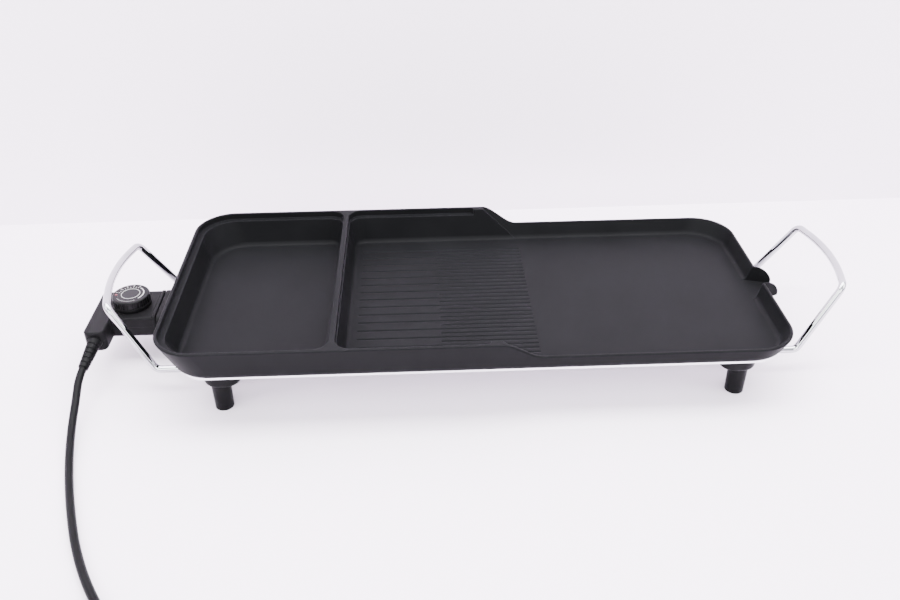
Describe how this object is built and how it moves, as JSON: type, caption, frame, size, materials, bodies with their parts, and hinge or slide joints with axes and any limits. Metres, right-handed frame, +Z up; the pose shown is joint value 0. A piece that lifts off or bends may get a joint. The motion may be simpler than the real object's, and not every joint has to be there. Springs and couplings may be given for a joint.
{
  "type": "electric grill",
  "caption": "Long electric table grill with a deep basin, ribbed middle and flat griddle with spout, rod handles, short legs and a plug-in thermostat control on a mains cord.",
  "frame": {"origin": "on the table, in the middle of the four feet", "axes": "+X along the pan towards the oil spout, +Y to the back, +Z up"},
  "size_m": [0.724, 0.5817, 0.0903],
  "materials": {
    "nonstick": "matt non-stick coating on cast aluminium",
    "bright_sheet": "polished reflector sheet",
    "chrome": "polished chrome plate",
    "leg_plastic": "fine textured heat-resistant plastic",
    "housing_plastic": "satin moulded plastic",
    "knob_plastic": "semi-gloss moulded plastic",
    "cap_print": "printed dial disc",
    "steel": "zinc-plated steel",
    "sheath": "dull heater sheath",
    "brass": "plain brass",
    "cord_sheath": "smooth flexible sheath"
  },
  "bodies": {
    "grill": {"grill_pan": "nonstick", "reflector_tray": "bright_sheet", "leg_front_left": "leg_plastic", "leg_front_right": "leg_plastic", "leg_rear_left": "leg_plastic", "leg_rear_right": "leg_plastic", "leg_screws": "steel", "heating_element": "sheath", "element_clips": "steel", "terminal_pins": "steel", "probe_guide": "steel", "inlet_shroud": "housing_plastic", "shroud_screws": "steel", "handle_left": "chrome", "handle_right": "chrome", "handle_clamps": "steel", "handle_screws": "steel", "handle_nuts": "steel"},
    "controller": {"controller_base": "housing_plastic", "controller_cover": "housing_plastic", "housing_screws": "steel", "socket_block": "housing_plastic", "contact_sleeves": "brass", "controller_flange": "housing_plastic", "thermostat_frame": "steel", "contact_springs": "brass", "temperature_probe": "steel", "strain_relief": "cord_sheath", "power_cord": "cord_sheath", "cord_coil": "cord_sheath", "coil_tie": "cord_sheath", "plug_body": "cord_sheath", "plug_pins": "brass"},
    "knob": {"control_knob": "knob_plastic", "knob_cap": "cap_print", "knob_spindle": "steel"}
  },
  "joints": [
    {"name": "controller_pull", "type": "slide", "parent": "grill", "child": "controller", "axis": [-1, 0, 0], "range_m": [0, 0.078]},
    {"name": "knob_turn", "type": "hinge", "parent": "controller", "child": "knob", "pos_m": [-0.337, 0, 0.056], "axis": [0, 0, -1], "range_deg": [0, 270]}
  ]
}
